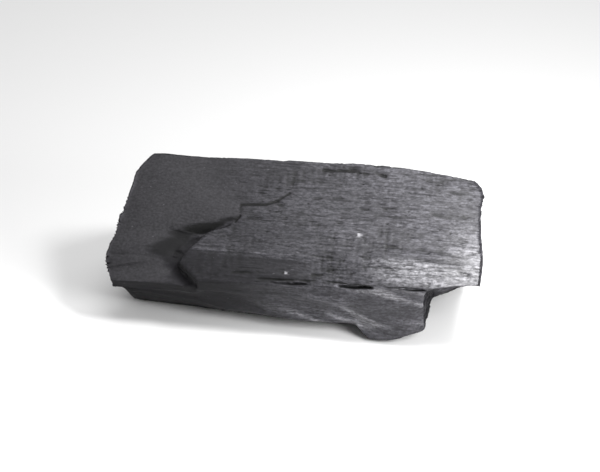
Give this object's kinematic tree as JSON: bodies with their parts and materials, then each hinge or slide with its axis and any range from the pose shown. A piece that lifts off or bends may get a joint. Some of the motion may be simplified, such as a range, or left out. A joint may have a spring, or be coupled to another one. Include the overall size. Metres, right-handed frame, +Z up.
{
  "type": "charcoal lump",
  "caption": "Wedge-shaped lump of hardwood charcoal with a broad split face, a fracture scar, radial end cracks and a flat underside to rest on.",
  "frame": {"origin": "middle of the lump's footprint on the floor, under the centre of its bounding box", "axes": "+X along the wood's grain, +Z up, and the broad split face looks towards -Y and up"},
  "size_m": [0.1298, 0.0594, 0.0504],
  "materials": {
    "charcoal": "matt black charcoal with a grey graphite sheen along the grain"
  },
  "bodies": {
    "root": {"charcoal_lump": "charcoal"}
  },
  "joints": []
}
